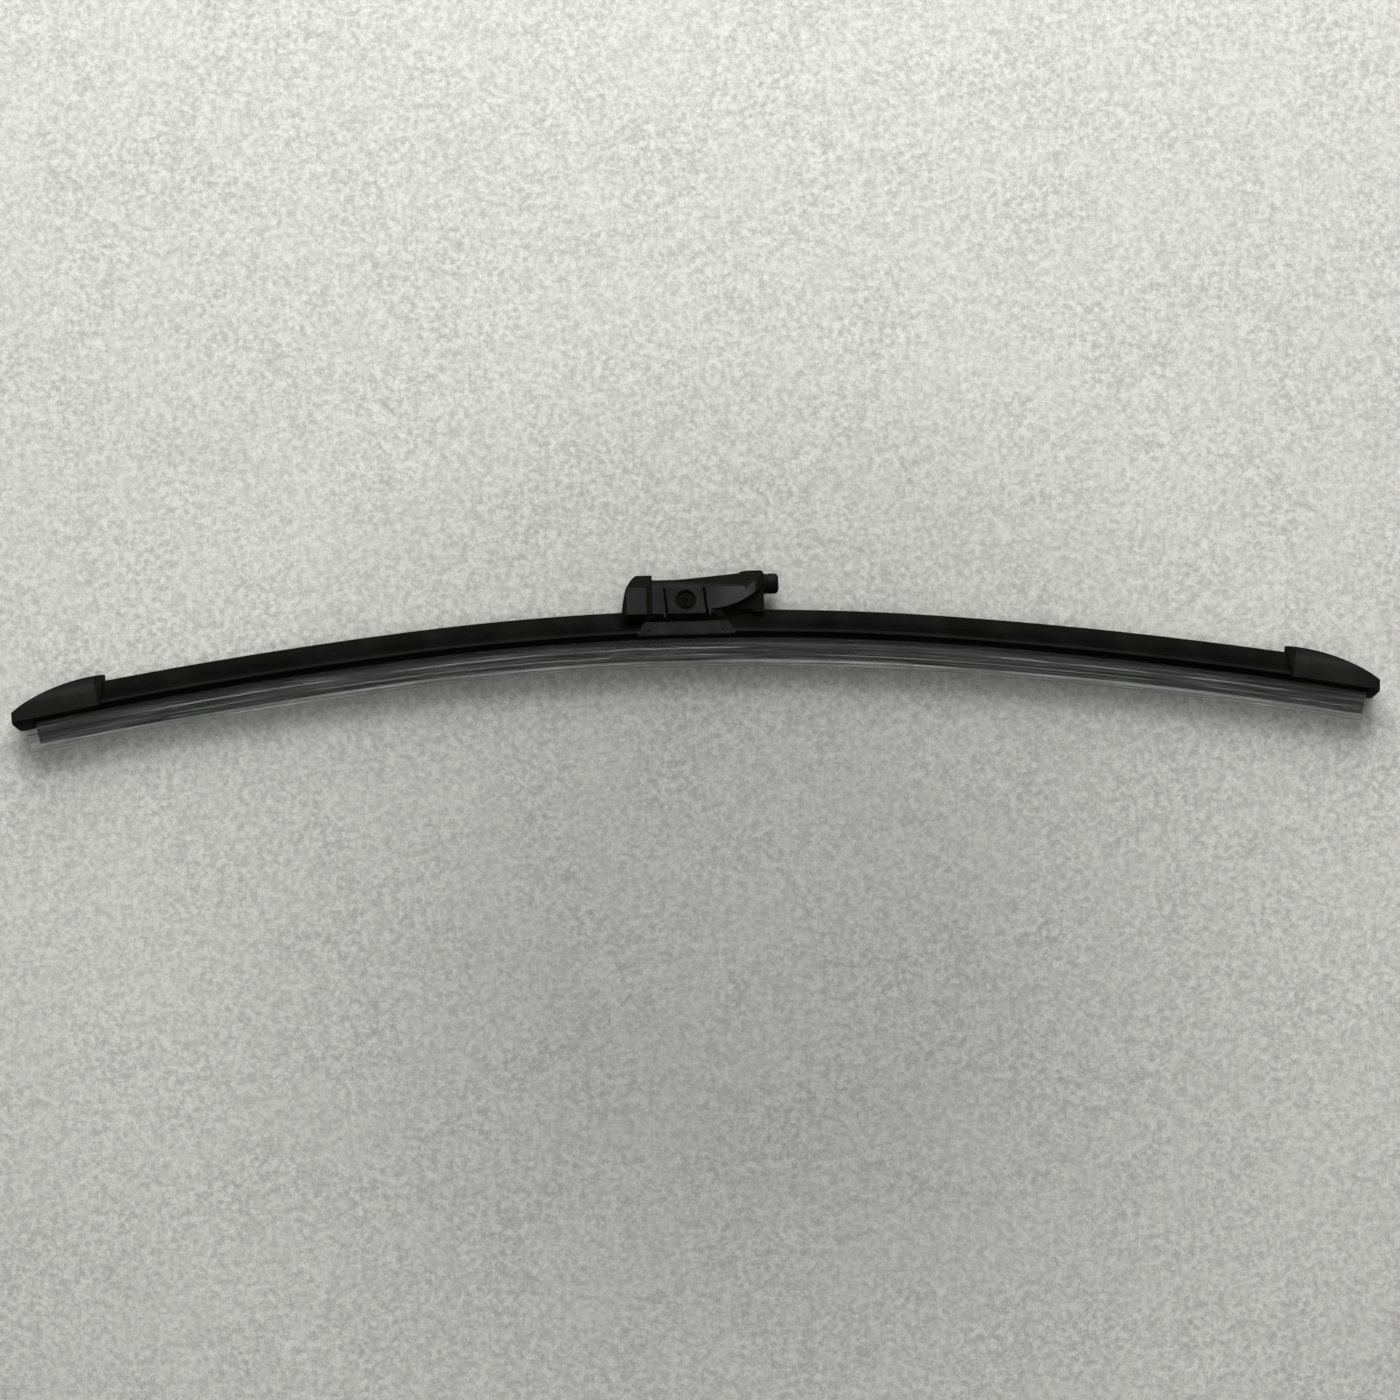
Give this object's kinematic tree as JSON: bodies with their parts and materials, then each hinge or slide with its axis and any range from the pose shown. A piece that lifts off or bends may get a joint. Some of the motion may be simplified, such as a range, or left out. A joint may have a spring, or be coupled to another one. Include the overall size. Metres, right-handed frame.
{
  "type": "flat wiper blade",
  "caption": "Flat wiper blade with bowed spring rails, hollow spoilers, wedge end caps, pivoting arm adapter and a clear sleeve over the wiping lip.",
  "frame": {"origin": "on the axis of the pivot pin, in the blade's middle plane, where the wiper arm's channel is centred", "axes": "+X along the blade towards the adapter's tail, +Y away from the glass, +Z across the blade; the blade lies on its side with -Z down"},
  "size_m": [0.6192, 0.075, 0.0164],
  "materials": {
    "rubber": "matt",
    "rail_steel": "satin",
    "spoiler_plastic": "satin",
    "cap_plastic": "matt",
    "bracket_paint": "satin",
    "pin_steel": "satin",
    "clear_sleeve": "clear plastic",
    "block_plastic": "matt",
    "adapter_plastic": "matt",
    "knob_rubber": "glossy"
  },
  "bodies": {
    "blade": {"wiping_rubber": "rubber", "leading_spring_rail": "rail_steel", "trailing_spring_rail": "rail_steel", "spoiler_left": "spoiler_plastic", "spoiler_right": "spoiler_plastic", "end_cap_left": "cap_plastic", "end_cap_right": "cap_plastic", "mount_bracket": "bracket_paint", "pivot_pin": "pin_steel", "protective_sleeve": "clear_sleeve"},
    "adapter": {"hinge_block": "block_plastic", "adapter_body": "adapter_plastic", "tail_knob": "knob_rubber"}
  },
  "joints": [
    {"name": "adapter_pivot", "type": "hinge", "parent": "blade", "child": "adapter", "pos_m": [0, 0, 0], "axis": [0, 0, 1], "range_deg": [0, 9]}
  ]
}
